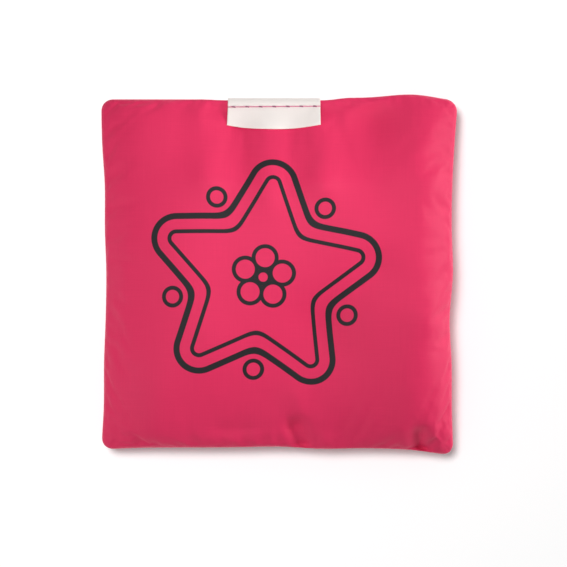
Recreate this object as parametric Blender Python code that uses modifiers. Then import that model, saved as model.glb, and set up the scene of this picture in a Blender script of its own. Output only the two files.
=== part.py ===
"""A toss bean bag, lying on its back on a table.

Two square cloth panels are sewn right sides together, turned, filled with pellets and closed
under a ribbon label that is folded over the top edge and stitched through. Metres, +Z up. The
origin is the middle of the patch that rests on the table, and the label is at the +Y edge.
"""

import math

import bmesh
import bpy
from mathutils import Vector

# Bag: outline over the corners, seam height and bulge
PANEL_WIDTH = 0.1016
PANEL_LENGTH = 0.1018
CORNER_RADIUS = 0.0034
EDGE_DRAW = 0.0016
SEAM_HEIGHT = 0.0083
CORNER_DROP = 0.0022
FRONT_CROWN = 0.0118
BACK_CROWN = 0.0102
CROWN_POWER_SHARE = 3.0
TOP_POWER_SHARE = 2.0
RIGHT_POWER_SHARE = 6.0
CROWN_FULLNESS_SHARE = 0.62

# Cloth and its turned seam
CLOTH_THICKNESS = 0.00045
ALLOWANCE = 0.0060
ROLL_RADIUS = 0.0009
LAYER_GAP = 0.0003

# Closed opening under the label, where the layers are pressed flat
CLOSED_MARGIN = 0.0004
CLOSED_FADE = 0.0080
CLOSED_FLAT = 0.0024
CLOSED_RISE = 0.0240
CLOSED_DRAW_SHARE = 1.0

# Slack cloth beside it, which the filling doesn't reach
SLACK_LEFT_FADE = 0.0270
SLACK_RIGHT_FADE = 0.0240
SLACK_RIGHT_REACH = 0.0130

# Soft folds of the front panel
FOLD_HEIGHT = 0.0010
FOLD_WIDTH = 0.0080
FOLD_FADE = 0.0065
FOLD_RISE = 0.0050

# Filling
FILL_INSET = 0.0036
FILL_SLACK = 0.0011
FILL_STEP = 0.0006

# Label ribbon
LABEL_WIDTH = 0.0263
LABEL_OFFSET = 0.0011
LABEL_THICKNESS = 0.00035
LABEL_DROP = 0.0086
LABEL_BOW = 0.00095
LABEL_LIFT = 0.0003

# Sewing threads
STITCH_PITCH = 0.00385
STITCH_COUNT = 6
STITCH_INSET = 0.00245
STITCH_LIFT = 0.00012
HINGE_BELOW_STITCH = 0.0012
THREAD_DIAMETER = 0.00025
THREAD_GAP = 0.00015
SEAM_STITCH_INSET = 0.0018
SEAM_OPENING_HALF = 0.0105

# Draw-in of each side as shares of EDGE_DRAW, at stations spread evenly from one corner to the next
RIGHT_DRAW_SHARES = (0.36, 0.69, 0.77, 1.13, 0.55, 0.76, 0.66, 0.21, -0.40)
LEFT_DRAW_SHARES = (0.15, 0.63, 0.71, 1.01, 1.12, 0.87, 0.84, 0.33, 0.10)
TOP_DRAW_SHARES = (0.72, 0.80, 0.84, 0.82, 1.0, 0.62, 0.47, -0.07, 0.92)
BOTTOM_DRAW_SHARES = (0.28, 0.60, 0.67, 0.71, 0.84, 0.45, 0.53, 0.22, -0.80)

# Grid lines of a panel, from the middle to the edge, as shares of its half size
FRONT_LINE_SHARES = (0, 0.08, 0.16, 0.24, 0.32, 0.40, 0.48, 0.56, 0.64, 0.72, 0.80, 0.87, 0.915,
                     0.948, 0.974, 0.99, 1)
BACK_LINE_SHARES = (0, 0.17, 0.33, 0.49, 0.64, 0.77, 0.86, 0.915, 0.948, 0.974, 0.99, 1)
FILL_LINE_SHARES = (0, 0.13, 0.26, 0.39, 0.52, 0.65, 0.78, 0.90, 1)

# Folds: from x, y to x, y as shares of the half sizes, then shares of FOLD_WIDTH and FOLD_HEIGHT
FOLD_SHARES = (
    (0.89, 0.43, 0.90, -0.20, 0.80, 0.9),
    (0.85, -0.28, 0.84, -0.83, 1.00, 1.5),
    (0.81, 0.83, 0.82, 0.47, 0.75, 0.5),
    (0.53, 0.90, 0.51, 0.47, 0.80, -0.9),
    (0.53, 0.00, 0.31, -0.28, 1.00, -1.1),
    (0.20, -0.35, -0.24, -0.90, 1.60, -2.5),
    (0.30, -0.59, 0.30, -0.90, 1.50, -1.5),
    (-0.73, -0.47, -0.75, -0.94, 1.10, 0.9),
    (-0.43, 0.90, -0.44, 0.63, 0.62, 0.8),
    (-0.25, 0.83, -0.25, 0.63, 0.52, -0.5),
    (-0.08, 0.83, -0.07, 0.47, 0.52, 0.8),
    (0.23, 0.96, 0.24, 0.59, 0.65, 1.5),
    (-0.51, 0.16, -0.43, -0.43, 1.00, 0.8),
    (0.35, 0.47, 0.43, 0.20, 0.90, 0.5),
    (0.13, -0.90, 0.11, -0.71, 0.44, 0.6),
)

# Corners of the seam stitching are rounded, so its points crowd there: shares of a half side
STITCH_PATH_SHARES = (-1, -0.988, -0.97, -0.93, -0.7, -0.35, 0, 0.35, 0.7, 0.93, 0.97, 0.988)

ROLL_TURN_SHARES = (0.25, 0.5)
FILL_CLOSED_SHARE = 0.5
TUBE_RESOLUTION = 2
STITCH_POINTS = 4
BEND_STEPS = 6
LABEL_CELLS = 8
FLAP_CELLS = 3
NORMAL_STEP_SHARE = 0.001

# Colours in linear light, with roughness
CLOTH_LOOK = ((0.80, 0.048, 0.145), 0.55)
LABEL_LOOK = ((0.86, 0.82, 0.80), 0.60)
CLOSING_THREAD_LOOK = ((0.72, 0.30, 0.38), 0.60)
SEAM_THREAD_LOOK = ((0.70, 0.06, 0.15), 0.60)
PELLET_LOOK = ((0.72, 0.71, 0.66), 0.35)

HALF_WIDTH = PANEL_WIDTH / 2
HALF_LENGTH = PANEL_LENGTH / 2
SEAM_THREAD_SEAT = LAYER_GAP / 2 + CLOTH_THICKNESS + THREAD_GAP
PRESSED_HEIGHT = SEAM_THREAD_SEAT + THREAD_DIAMETER + THREAD_GAP + CLOTH_THICKNESS
PRESSED_ROLL = (PRESSED_HEIGHT - LAYER_GAP / 2) / 2
LABEL_CENTRE = -LABEL_OFFSET
CLOSED_HALF_WIDTH = LABEL_WIDTH / 2 + CLOSED_MARGIN
CLOSED_EDGE = HALF_LENGTH - EDGE_DRAW * CLOSED_DRAW_SHARE
LABEL_TOP = CLOSED_EDGE + LAYER_GAP + LABEL_THICKNESS
STITCH_LINE = LABEL_TOP - STITCH_INSET
HINGE_LINE = STITCH_LINE - HINGE_BELOW_STITCH
LABEL_SEAT = PRESSED_HEIGHT + LAYER_GAP


def smooth_step(place):
    """0 before 0, 1 after 1, and an even ease between."""
    place = min(max(place, 0.0), 1.0)
    return place * place * (3 - 2 * place)


def read_shares(shares, place):
    """The value at place, from -1 to 1, on a smooth line through evenly spread stations."""
    last = len(shares) - 1
    along = (place + 1) / 2 * last
    first = min(max(int(along), 0), last - 1)
    t = along - first
    a, b, c, d = (shares[min(max(first + k, 0), last)] for k in (-1, 0, 1, 2))
    return b + 0.5 * t * (c - a + t * (2 * a - 5 * b + 4 * c - d + t * (3 * (b - c) + d - a)))


def closed_weight(x):
    """1 across the closed opening under the label, 0 past it."""
    past = abs(x - LABEL_CENTRE) - CLOSED_HALF_WIDTH
    return 1 - smooth_step(past / CLOSED_FADE)


def slack_weight(x):
    """1 where the filling stays away from the top edge, 0 where it fills the edge."""
    past = abs(x - LABEL_CENTRE) - CLOSED_HALF_WIDTH
    if x > LABEL_CENTRE:
        return 1 - smooth_step((past - SLACK_RIGHT_REACH) / SLACK_RIGHT_FADE)
    return 1 - smooth_step(past / SLACK_LEFT_FADE)


def side_reach(u, v):
    """How far the outline lies from the middle, along X at the height v."""
    shares = RIGHT_DRAW_SHARES if u > 0 else LEFT_DRAW_SHARES
    return HALF_WIDTH - EDGE_DRAW * read_shares(shares, v)


def end_reach(u, v):
    """How far the outline lies from the middle, along Y at the width u."""
    if v <= 0:
        return HALF_LENGTH - EDGE_DRAW * read_shares(BOTTOM_DRAW_SHARES, u)
    free = HALF_LENGTH - EDGE_DRAW * read_shares(TOP_DRAW_SHARES, u)
    return free + (CLOSED_EDGE - free) * closed_weight(u * HALF_WIDTH)


def plan_point(u, v):
    """The panel's shares u, v laid out as x, y in its outline, with its rounded corners."""
    reach = (side_reach(u, v), end_reach(u, v))
    from_corner = [CORNER_RADIUS - reach[0] * (1 - abs(u)), CORNER_RADIUS - reach[1] * (1 - abs(v))]
    plan = [reach[0] * abs(u), reach[1] * abs(v)]
    if min(from_corner) > 0:
        turn = max(from_corner) / math.hypot(*from_corner)
        plan = [r - CORNER_RADIUS + f * turn for r, f in zip(reach, from_corner)]
    return math.copysign(plan[0], u), math.copysign(plan[1], v)


def edge_distance(u, v):
    """How far u, v lies inside the nearest side of the outline."""
    return min(side_reach(u, v) * (1 - abs(u)), end_reach(u, v) * (1 - abs(v)))


def seam_level(x, y):
    """Height of the plane between the two allowances: it sinks towards the corners."""
    return SEAM_HEIGHT - CORNER_DROP * (x / HALF_WIDTH * y / HALF_LENGTH) ** 4


def roll_height(distance, radius):
    """Height of the rolled edge's outer face, at a distance inside the outline."""
    inside = max(radius - distance, 0.0)
    return LAYER_GAP / 2 + radius + math.sqrt(radius**2 - min(inside, radius) ** 2)


def fold_height(u, v):
    """The sum of the soft folds at u, v: each is a long low ridge or valley."""
    total = 0.0
    for x0, y0, x1, y1, width_share, height_share in FOLD_SHARES:
        start = Vector((x0 * HALF_WIDTH, y0 * HALF_LENGTH))
        run = Vector((x1 * HALF_WIDTH, y1 * HALF_LENGTH)) - start
        here = Vector((u * HALF_WIDTH, v * HALF_LENGTH)) - start
        along = min(max(here.dot(run) / run.length_squared, 0.0), 1.0)
        away = (here - run * along).length / (FOLD_WIDTH * width_share)
        total += FOLD_HEIGHT * height_share * math.exp(-away * away)
    return total


def swell_at(u, v):
    """1 in the middle of a panel, 0 on its outline: slacker at the top, fuller on the right."""
    across = RIGHT_POWER_SHARE if u > 0 else CROWN_POWER_SHARE
    along = TOP_POWER_SHARE if v > 0 else CROWN_POWER_SHARE
    return ((1 - abs(u) ** across) * (1 - abs(v) ** along)) ** CROWN_FULLNESS_SHARE


def panel_height(u, v, crown, folded):
    """Height of a panel's outer face above the seam plane."""
    distance = edge_distance(u, v)
    full = roll_height(ROLL_RADIUS, ROLL_RADIUS)
    free = roll_height(distance, ROLL_RADIUS) + (crown - full) * swell_at(u, v)
    relief = fold_height(u, v) * smooth_step(distance / FOLD_FADE) if folded else 0.0
    if v <= 0:
        return free + relief
    x = u * HALF_WIDTH
    from_top = end_reach(u, v) * (1 - v)
    pressed = roll_height(from_top, PRESSED_ROLL)
    closed = pressed + (free - pressed) * smooth_step((from_top - CLOSED_FLAT) / CLOSED_RISE)
    held = closed_weight(x) * (1 - smooth_step((from_top - CLOSED_FLAT) / FOLD_RISE))
    return free + (closed - free) * slack_weight(x) + relief * (1 - held)


def panel_point(u, v, side):
    """A point of a panel's outer face, not yet pressed flat by the table: side is 1 in front."""
    x, y = plan_point(u, v)
    crown = FRONT_CROWN if side > 0 else BACK_CROWN
    return Vector((x, y, seam_level(x, y) + side * panel_height(u, v, crown, side > 0)))


def inner_point(u, v, side, depth):
    """The point that lies depth under a panel's outer face, square to it."""
    step = NORMAL_STEP_SHARE
    across = panel_point(u + step, v, side) - panel_point(u - step, v, side)
    along = panel_point(u, v + step, side) - panel_point(u, v - step, side)
    return panel_point(u, v, side) - across.cross(along).normalized() * depth * side


def inset_shares(u, v, inset):
    """The shares of a point that lies inset inside the edge point u, v."""
    return u * (1 - inset / HALF_WIDTH), v * (1 - inset / HALF_LENGTH)


def shares_at(x, y):
    """The shares whose plan point is x, y, away from the corners."""
    u, v = x / HALF_WIDTH, y / HALF_LENGTH
    for _ in range(4):
        u, v = x / side_reach(u, v), y / end_reach(u, v)
    return u, v


def make_material(name, look):
    colour, roughness = look
    material = bpy.data.materials.new(name)
    material.use_nodes = True
    shader = material.node_tree.nodes["Principled BSDF"]
    shader.inputs["Base Color"].default_value = (*colour, 1)
    shader.inputs["Roughness"].default_value = roughness
    shader.inputs["Metallic"].default_value = 0
    return material


def face_away(mesh_data, inside):
    """Turns all faces so that they look away from the point inside."""
    bmesh.ops.recalc_face_normals(mesh_data, faces=mesh_data.faces)
    away = sum((face.calc_center_median() - inside).dot(face.normal) * face.calc_area()
               for face in mesh_data.faces)
    if away < 0:
        bmesh.ops.reverse_faces(mesh_data, faces=mesh_data.faces)


def add_mesh_object(name, mesh_data, inside, look):
    """Turns a finished bmesh into a smooth-shaded object with its own material."""
    mesh = bpy.data.meshes.new(name)
    face_away(mesh_data, inside)
    mesh_data.to_mesh(mesh)
    mesh_data.free()
    mesh.shade_smooth()
    mesh.materials.append(make_material(name, look))
    thing = bpy.data.objects.new(name, mesh)
    parts.objects.link(thing)
    return thing


def add_wall(thing, thickness, offset):
    """Gives an open surface its thickness, on the side that offset names."""
    wall = thing.modifiers.new("wall", "SOLIDIFY")
    wall.thickness = thickness
    wall.offset = offset
    wall.use_even_offset = True


def grid_blank(line_shares, level):
    """A square grid in shares from -1 to 1, with its lines where line_shares puts them."""
    blank = bmesh.new()
    cells = 2 * (len(line_shares) - 1)
    bmesh.ops.create_grid(blank, x_segments=cells, y_segments=cells, size=1)
    middle = cells // 2
    for vert in blank.verts:
        for axis in (0, 1):
            line = round(vert.co[axis] * middle)
            vert.co[axis] = math.copysign(line_shares[abs(line)], line)
        vert.co.z = level
    return blank


def extrude_ring(blank, level):
    """Extrudes the blank's open boundary once, and marks the new ring with its level."""
    border = [edge for edge in blank.edges if edge.is_boundary]
    made = bmesh.ops.extrude_edge_only(blank, edges=border)["geom"]
    for vert in (item for item in made if isinstance(item, bmesh.types.BMVert)):
        vert.co.z = level


def make_cover(name, side, line_shares):
    """One panel: its outer face, the rolled edge and the allowance that is turned inside."""
    blank = grid_blank(line_shares, 0)
    last_level = len(ROLL_TURN_SHARES) + 1
    for level in range(1, last_level + 1):
        extrude_ring(blank, level)
    for vert in blank.verts:
        u, v, level = vert.co
        level = round(level)
        if level == 0:
            vert.co = panel_point(u, v, side)
            if side < 0:
                vert.co.z = max(vert.co.z, 0.0)
            continue
        weight = slack_weight(u * HALF_WIDTH) if v == 1 else 0.0
        radius = ROLL_RADIUS + (PRESSED_ROLL - ROLL_RADIUS) * weight
        if level == last_level:
            inset, height = ALLOWANCE, 0.0
        else:
            angle = math.pi * ROLL_TURN_SHARES[level - 1]
            inset, height = radius * (1 - math.cos(angle)), radius * (1 - math.sin(angle))
        x, y = plan_point(*inset_shares(u, v, inset))
        vert.co = Vector((x, y, seam_level(x, y) + side * (LAYER_GAP / 2 + height)))
    cover = add_mesh_object(name, blank, Vector((0, 0, SEAM_HEIGHT)), CLOTH_LOOK)
    add_wall(cover, CLOTH_THICKNESS, -1)
    return cover


def make_fill(name):
    """The poured pellets as one mass, with a groove all round that clears the allowances."""
    blank = grid_blank(FILL_LINE_SHARES, 3)
    for level in (2, 1, -1, -2, -3):
        extrude_ring(blank, level)
    floor = grid_blank(FILL_LINE_SHARES, -3)
    scratch = bpy.data.meshes.new("fill_floor")
    floor.to_mesh(scratch)
    floor.free()
    blank.from_mesh(scratch)
    bpy.data.meshes.remove(scratch)
    bmesh.ops.remove_doubles(blank, verts=blank.verts, dist=NORMAL_STEP_SHARE)
    groove = LAYER_GAP / 2 + CLOTH_THICKNESS + LAYER_GAP
    lift = CLOTH_THICKNESS + LAYER_GAP
    for vert in blank.verts:
        u, v, level = vert.co
        side = 1 if level > 0 else -1
        weight = slack_weight(u * HALF_WIDTH) * max(v, 0.0)
        inset = FILL_INSET + (CLOSED_FLAT + CLOSED_RISE * FILL_CLOSED_SHARE - FILL_INSET) * weight
        if round(abs(level)) == 3:
            place = inset_shares(u, v, inset)
            vert.co = inner_point(*place, side, lift + FILL_SLACK)
            vert.co.z = max(vert.co.z, lift)
            continue
        if round(abs(level)) == 1:
            inset = max(ALLOWANCE + 2 * LAYER_GAP, inset + FILL_STEP)
        x, y = plan_point(*inset_shares(u, v, inset))
        vert.co = Vector((x, y, seam_level(x, y) + side * groove))
    return add_mesh_object(name, blank, Vector((0, 0, SEAM_HEIGHT)), PELLET_LOOK)


def make_label_fold(name):
    """The sewn middle of the ribbon: down the front, over the edge and down the back."""
    bend_centre = CLOSED_EDGE - PRESSED_ROLL
    bend_height = LAYER_GAP / 2 + PRESSED_ROLL
    bend_radius = LABEL_SEAT - bend_height
    profile = [(HINGE_LINE + LAYER_GAP / 2, LABEL_SEAT)]
    for step in range(BEND_STEPS + 1):
        angle = math.pi / 2 * (1 - step / BEND_STEPS)
        y = bend_centre + bend_radius * math.cos(angle)
        profile.append((y, bend_height + bend_radius * math.sin(angle)))
    profile += [(y, -height) for y, height in reversed(profile)]
    strip = bmesh.new()
    left = LABEL_CENTRE - LABEL_WIDTH / 2
    verts = [strip.verts.new((left, y, SEAM_HEIGHT + height)) for y, height in profile]
    edges = [strip.edges.new(pair) for pair in zip(verts, verts[1:])]
    made = bmesh.ops.extrude_edge_only(strip, edges=edges)["geom"]
    moved = [item for item in made if isinstance(item, bmesh.types.BMVert)]
    bmesh.ops.translate(strip, verts=moved, vec=(LABEL_WIDTH, 0, 0))
    fold = add_mesh_object(name, strip, Vector((LABEL_CENTRE, HINGE_LINE, SEAM_HEIGHT)), LABEL_LOOK)
    add_wall(fold, LABEL_THICKNESS, 1)
    return fold


def make_flap(name, side):
    """A loose end of the ribbon, in an object whose origin is on its hinge line."""
    sheet = bmesh.new()
    bmesh.ops.create_grid(sheet, x_segments=LABEL_CELLS, y_segments=FLAP_CELLS, size=1)
    hinge = Vector((LABEL_CENTRE, HINGE_LINE, SEAM_HEIGHT + side * (LABEL_SEAT + LABEL_THICKNESS)))
    crown = FRONT_CROWN if side > 0 else BACK_CROWN
    start = HINGE_LINE - LAYER_GAP
    for vert in sheet.verts:
        across, down, _ = vert.co
        down = (1 - down) / 2
        x = LABEL_CENTRE + across * LABEL_WIDTH / 2
        end = LABEL_TOP - LABEL_DROP - LABEL_BOW * (1 - across**2)
        under = panel_height(*shares_at(x, end), crown, side > 0)
        rise = under + LAYER_GAP + LABEL_LIFT - LABEL_SEAT
        height = SEAM_HEIGHT + side * (LABEL_SEAT + rise * down)
        vert.co = Vector((x, start + (end - start) * down, height)) - hinge
    flap = add_mesh_object(name, sheet, Vector((0, 0, -side * LABEL_DROP)), LABEL_LOOK)
    flap.location = hinge
    add_wall(flap, LABEL_THICKNESS, 1)
    return flap


def make_thread(name, points, look):
    """A thread as an open tube with closed ends."""
    curve = bpy.data.curves.new(name, "CURVE")
    curve.dimensions = "3D"
    curve.bevel_depth = THREAD_DIAMETER / 2
    curve.bevel_resolution = TUBE_RESOLUTION
    curve.use_fill_caps = True
    spline = curve.splines.new("POLY")
    spline.points.add(len(points) - 1)
    for place, point in zip(spline.points, points):
        place.co = (*point, 1)
    curve.materials.append(make_material(name, look))
    thread = bpy.data.objects.new(name, curve)
    parts.objects.link(thread)
    return thread


def closing_points(side):
    """Stitches across the label: each rises a little between two needle points."""
    first = LABEL_CENTRE - STITCH_PITCH * STITCH_COUNT / 2
    rest = LABEL_SEAT + LABEL_THICKNESS + THREAD_GAP + THREAD_DIAMETER / 2
    points = []
    for step in range(-1, STITCH_COUNT * STITCH_POINTS + 2):
        along = step / STITCH_POINTS
        height = rest + STITCH_LIFT * math.sin(math.pi * along) ** 2
        points.append((first + STITCH_PITCH * along, STITCH_LINE, SEAM_HEIGHT + side * height))
    return points


def seam_points(side):
    """The assembly stitching: all round inside the fold, but for the filling opening."""
    opening = LABEL_CENTRE / HALF_WIDTH
    gap = SEAM_OPENING_HALF / HALF_WIDTH
    shares = [(u, 1.0) for u in STITCH_PATH_SHARES if u > opening + gap]
    shares.insert(0, (opening + gap, 1.0))
    shares += [(1.0, -v) for v in STITCH_PATH_SHARES]
    shares += [(-u, -1.0) for u in STITCH_PATH_SHARES]
    shares += [(-1.0, v) for v in STITCH_PATH_SHARES]
    shares += [(u, 1.0) for u in STITCH_PATH_SHARES if u < opening - gap]
    shares.append((opening - gap, 1.0))
    height = SEAM_THREAD_SEAT + THREAD_DIAMETER / 2
    points = []
    for u, v in shares:
        x, y = plan_point(*inset_shares(u, v, SEAM_STITCH_INSET))
        points.append((x, y, seam_level(x, y) + side * height))
    return points


for old in list(bpy.data.objects):
    bpy.data.objects.remove(old)

parts = bpy.data.collections.new("toss_bean_bag")
bpy.context.scene.collection.children.link(parts)

make_cover("cover_front", 1, FRONT_LINE_SHARES)
make_cover("cover_back", -1, BACK_LINE_SHARES)
make_fill("pellet_fill")
make_label_fold("label_fold")
make_flap("label_front_flap", 1)
make_flap("label_back_flap", -1)
make_thread("closing_needle_thread", closing_points(1), CLOSING_THREAD_LOOK)
make_thread("closing_bobbin_thread", closing_points(-1), CLOSING_THREAD_LOOK)
make_thread("seam_needle_thread", seam_points(1), SEAM_THREAD_LOOK)
make_thread("seam_bobbin_thread", seam_points(-1), SEAM_THREAD_LOOK)
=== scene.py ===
# %% [markdown]
# # A toss bean bag, dressed for a soft light
#
# The real bag is two squares of satin-like polyester. They are sewn right sides together, turned, filled
# with small plastic pellets, and closed under a ribbon label that is folded over the top edge. The packed
# model has every piece at its true size, so this script only makes the looks. It loads that model as a
# fixed frame, builds finer pieces in the same places and hides the plain ones that they stand for.

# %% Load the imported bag
import math
import random

import bmesh
import bpy
from mathutils import Euler, Matrix, Vector, noise
from mathutils.bvhtree import BVHTree


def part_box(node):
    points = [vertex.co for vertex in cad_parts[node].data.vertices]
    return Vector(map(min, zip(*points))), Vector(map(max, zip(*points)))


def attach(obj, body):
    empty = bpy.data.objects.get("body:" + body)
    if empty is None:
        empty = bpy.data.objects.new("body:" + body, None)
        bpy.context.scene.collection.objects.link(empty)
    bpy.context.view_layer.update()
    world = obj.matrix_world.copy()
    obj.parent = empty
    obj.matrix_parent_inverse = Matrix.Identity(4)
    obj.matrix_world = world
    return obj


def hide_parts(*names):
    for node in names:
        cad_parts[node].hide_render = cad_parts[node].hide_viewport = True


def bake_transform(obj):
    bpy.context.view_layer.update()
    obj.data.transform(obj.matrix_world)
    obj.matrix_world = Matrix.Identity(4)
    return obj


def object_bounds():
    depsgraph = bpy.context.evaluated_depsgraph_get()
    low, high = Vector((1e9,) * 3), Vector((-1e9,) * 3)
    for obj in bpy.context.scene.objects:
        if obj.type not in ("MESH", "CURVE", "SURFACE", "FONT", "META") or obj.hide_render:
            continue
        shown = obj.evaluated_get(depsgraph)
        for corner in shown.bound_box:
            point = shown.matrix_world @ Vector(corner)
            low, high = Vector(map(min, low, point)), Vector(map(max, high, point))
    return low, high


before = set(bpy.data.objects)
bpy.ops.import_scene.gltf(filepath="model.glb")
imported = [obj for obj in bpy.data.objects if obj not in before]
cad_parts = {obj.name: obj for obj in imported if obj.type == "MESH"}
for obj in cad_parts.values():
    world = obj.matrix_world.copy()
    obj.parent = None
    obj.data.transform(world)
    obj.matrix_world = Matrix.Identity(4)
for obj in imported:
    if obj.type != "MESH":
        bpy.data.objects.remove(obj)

packed_low, packed_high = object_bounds()
print("packed box, mm:", [round(side * 1000, 2) for side in packed_high - packed_low])

# %% [markdown]
# ## The view
#
# The photograph looks straight down, and the sides of the bag show almost no perspective. A long lens
# from about half a metre does that. The view spans 162 mm at the height of the seam, and its middle lies
# a little right of and below the bag's own middle.

# %% Camera
MM = 0.001
LENS = 100
SENSOR = 36
VIEW_ACROSS = 162.0 * MM
VIEW_MIDDLE = (1.57 * MM, -3.0 * MM)

fold_low, fold_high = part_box("label_fold")
SEAM_LEVEL = (fold_low.z + fold_high.z) / 2


def put_in_scene(name, data):
    """A new object at the origin that shows this data."""
    piece = bpy.data.objects.new(name, data)
    bpy.context.scene.collection.objects.link(piece)
    return piece


camera_data = bpy.data.cameras.new("camera")
camera_data.lens = LENS
camera_data.sensor_width = SENSOR
camera = put_in_scene("camera", camera_data)
camera.location = (*VIEW_MIDDLE, SEAM_LEVEL + VIEW_ACROSS * LENS / SENSOR)
bpy.context.scene.camera = camera
bpy.context.scene.view_settings.view_transform = "Standard"
print("camera height, mm:", round(camera.location.z / MM, 1))

# %% [markdown]
# ## Light, floor and background
#
# The bag stands in a pale dome. A lamp hangs close above its upper half, so the light fades towards the
# lower edge. A low lamp on the right catches every slope that faces it and draws the folds, and one at
# the lower left keeps their other side from going dark. The floor has a lamp of its own, which light
# linking keeps off the bag: that one lays the short shadow along the right and lower edges. Each lamp is
# given as a share of the plain level, at which a white card renders as white.

# %% Lamps
DOME_SHARE = 0.27
BAG_LAMPS = (
    # name, place in mm, size in mm, share of the plain level
    ("top_panel", (0, 42, 125), 80, 0.40),
    ("side_panel", (680, 170, 185), 200, 0.17),
    ("fill_panel", (-260, -150, 260), 120, 0.185),
)
FLOOR_LAMP = ("shadow_panel", (-150, 160, 760), 225, 0.80)


def add_panel(name, place_mm, size_mm, share):
    """A square lamp that faces the bag and gives a level card there this share of the plain level."""
    place = Vector(place_mm) * MM
    away = place - Vector((0, 0, SEAM_LEVEL))
    data = bpy.data.lights.new(name, "AREA")
    data.size = size_mm * MM
    data.energy = share * (math.pi * away.length) ** 2 * away.length / away.z
    lamp = put_in_scene(name, data)
    lamp.location = place
    lamp.rotation_euler = away.to_track_quat("Z", "Y").to_euler()
    lamp.visible_camera = False
    return lamp


bag_lamps = [add_panel(*lamp) for lamp in BAG_LAMPS]
floor_lamp = add_panel(*FLOOR_LAMP)
print("lamps:", ", ".join(lamp.name for lamp in (*bag_lamps, floor_lamp)))

# %% Node helpers
def set_sockets(node, settings):
    for name, value in settings.items():
        node.inputs[name].default_value = value


def add_node(tree, kind, settings=()):
    """A new shader node, with some of its sockets set."""
    node = tree.nodes.new("ShaderNode" + kind)
    set_sockets(node, dict(settings))
    return node


def calc(tree, operation, *values):
    """One Math node: each value is a number or another node's output."""
    node = add_node(tree, "Math")
    node.operation = operation
    for slot, value in zip(node.inputs, values):
        if isinstance(value, bpy.types.NodeSocket):
            tree.links.new(value, slot)
        else:
            slot.default_value = value
    return node.outputs[0]


def seen_directly(tree):
    """1 for what the camera, a reflection or a clear body sees, 0 for light that falls on things."""
    seen_by = add_node(tree, "LightPath").outputs
    mirrored = calc(tree, "MAXIMUM", seen_by["Is Camera Ray"], seen_by["Is Glossy Ray"])
    return calc(tree, "MAXIMUM", mirrored, seen_by["Is Transmission Ray"])


# %% White world
WHITE = (1, 1, 1, 1)

world = bpy.data.worlds.new("white_world")
world.use_nodes = True
bpy.context.scene.world = world
sky = world.node_tree
strength = add_node(sky, "MapRange", {"To Min": DOME_SHARE, "To Max": 1.0})
sky.links.new(seen_directly(sky), strength.inputs["Value"])
sky.nodes["Background"].inputs["Color"].default_value = WHITE
sky.links.new(strength.outputs["Result"], sky.nodes["Background"].inputs["Strength"])
print("world: dome", DOME_SHARE)

# %% Floor
FLOOR_HALF = 1.5
FLOOR_DROP = 0.15 * MM
FLOOR_WHITE = (0.92, 0.92, 0.92, 1)
FLOOR_GLOW = 0.12


def new_look(name):
    """A new material, with its node tree and its shader."""
    look = bpy.data.materials.new(name)
    look.use_nodes = True
    return look, look.node_tree, look.node_tree.nodes["Principled BSDF"]


floor_data = bmesh.new()
bmesh.ops.create_grid(floor_data, x_segments=1, y_segments=1, size=FLOOR_HALF)
bmesh.ops.translate(floor_data, verts=floor_data.verts, vec=(0, 0, -FLOOR_DROP))
floor_mesh = bpy.data.meshes.new("floor")
floor_data.to_mesh(floor_mesh)
floor_data.free()
floor = put_in_scene("floor", floor_mesh)

floor_look, floor_tree, floor_shader = new_look("floor_white")
set_sockets(floor_shader, {
    "Base Color": FLOOR_WHITE, "Roughness": 1.0, "Specular IOR Level": 0.0, "Emission Color": WHITE
})
glow = calc(floor_tree, "MULTIPLY", seen_directly(floor_tree), FLOOR_GLOW)
floor_tree.links.new(glow, floor_shader.inputs["Emission Strength"])
floor_mesh.materials.append(floor_look)
print("floor: a white sheet", 2 * FLOOR_HALF, "m wide")

# %% Light linking
for lamp in (*bag_lamps, floor_lamp):
    reach = "INCLUDE" if lamp is floor_lamp else "EXCLUDE"
    receivers = bpy.data.collections.new(lamp.name + "_receivers")
    receivers.objects.link(floor)
    lamp.light_linking.receiver_collection = receivers
    receivers.collection_objects[0].light_linking.link_state = reach
    print(lamp.name, "and the floor:", reach.lower())

# %% [markdown]
# ## Weave, shared by the cloth and the ribbon
#
# Both fabrics are plain weaves. In a plain weave each yarn is a row of small cushions, as it comes over
# one crossing yarn and dives under the next. A product of two sine arches makes one cushion, and a
# checkerboard says which yarn is on top. The group takes a place in millimetres on the flat cloth and a
# yarn pitch, and puts out a height and a slow tone that differs from yarn to yarn.

# %% Group helpers
def split_vector(tree, vector):
    node = add_node(tree, "SeparateXYZ")
    tree.links.new(vector, node.inputs[0])
    return node.outputs["X"], node.outputs["Y"]


def new_group(name, takes, gives):
    """An empty node group: takes and gives are lists of socket names and kinds."""
    group = bpy.data.node_groups.new(name, "ShaderNodeTree")
    for socket, kind in takes:
        group.interface.new_socket(socket, in_out="INPUT", socket_type=kind)
    for socket, kind in gives:
        group.interface.new_socket(socket, in_out="OUTPUT", socket_type=kind)
    return group, group.nodes.new("NodeGroupInput"), group.nodes.new("NodeGroupOutput")


def use_group(tree, group, vector, **settings):
    node = add_node(tree, "Group")
    node.node_tree = group
    tree.links.new(vector, node.inputs["Place"])
    set_sockets(node, settings)
    return node


# %% Weave group
FLAT_ARCH = 0.5
ROUND_ARCH = 1.0
STREAK_PITCHES = 60.0

weave, weave_in, weave_out = new_group(
    "plain_weave",
    [("Place", "NodeSocketVector"), ("Pitch", "NodeSocketFloat")],
    [("Height", "NodeSocketFloat"), ("Tone", "NodeSocketFloat")],
)


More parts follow.
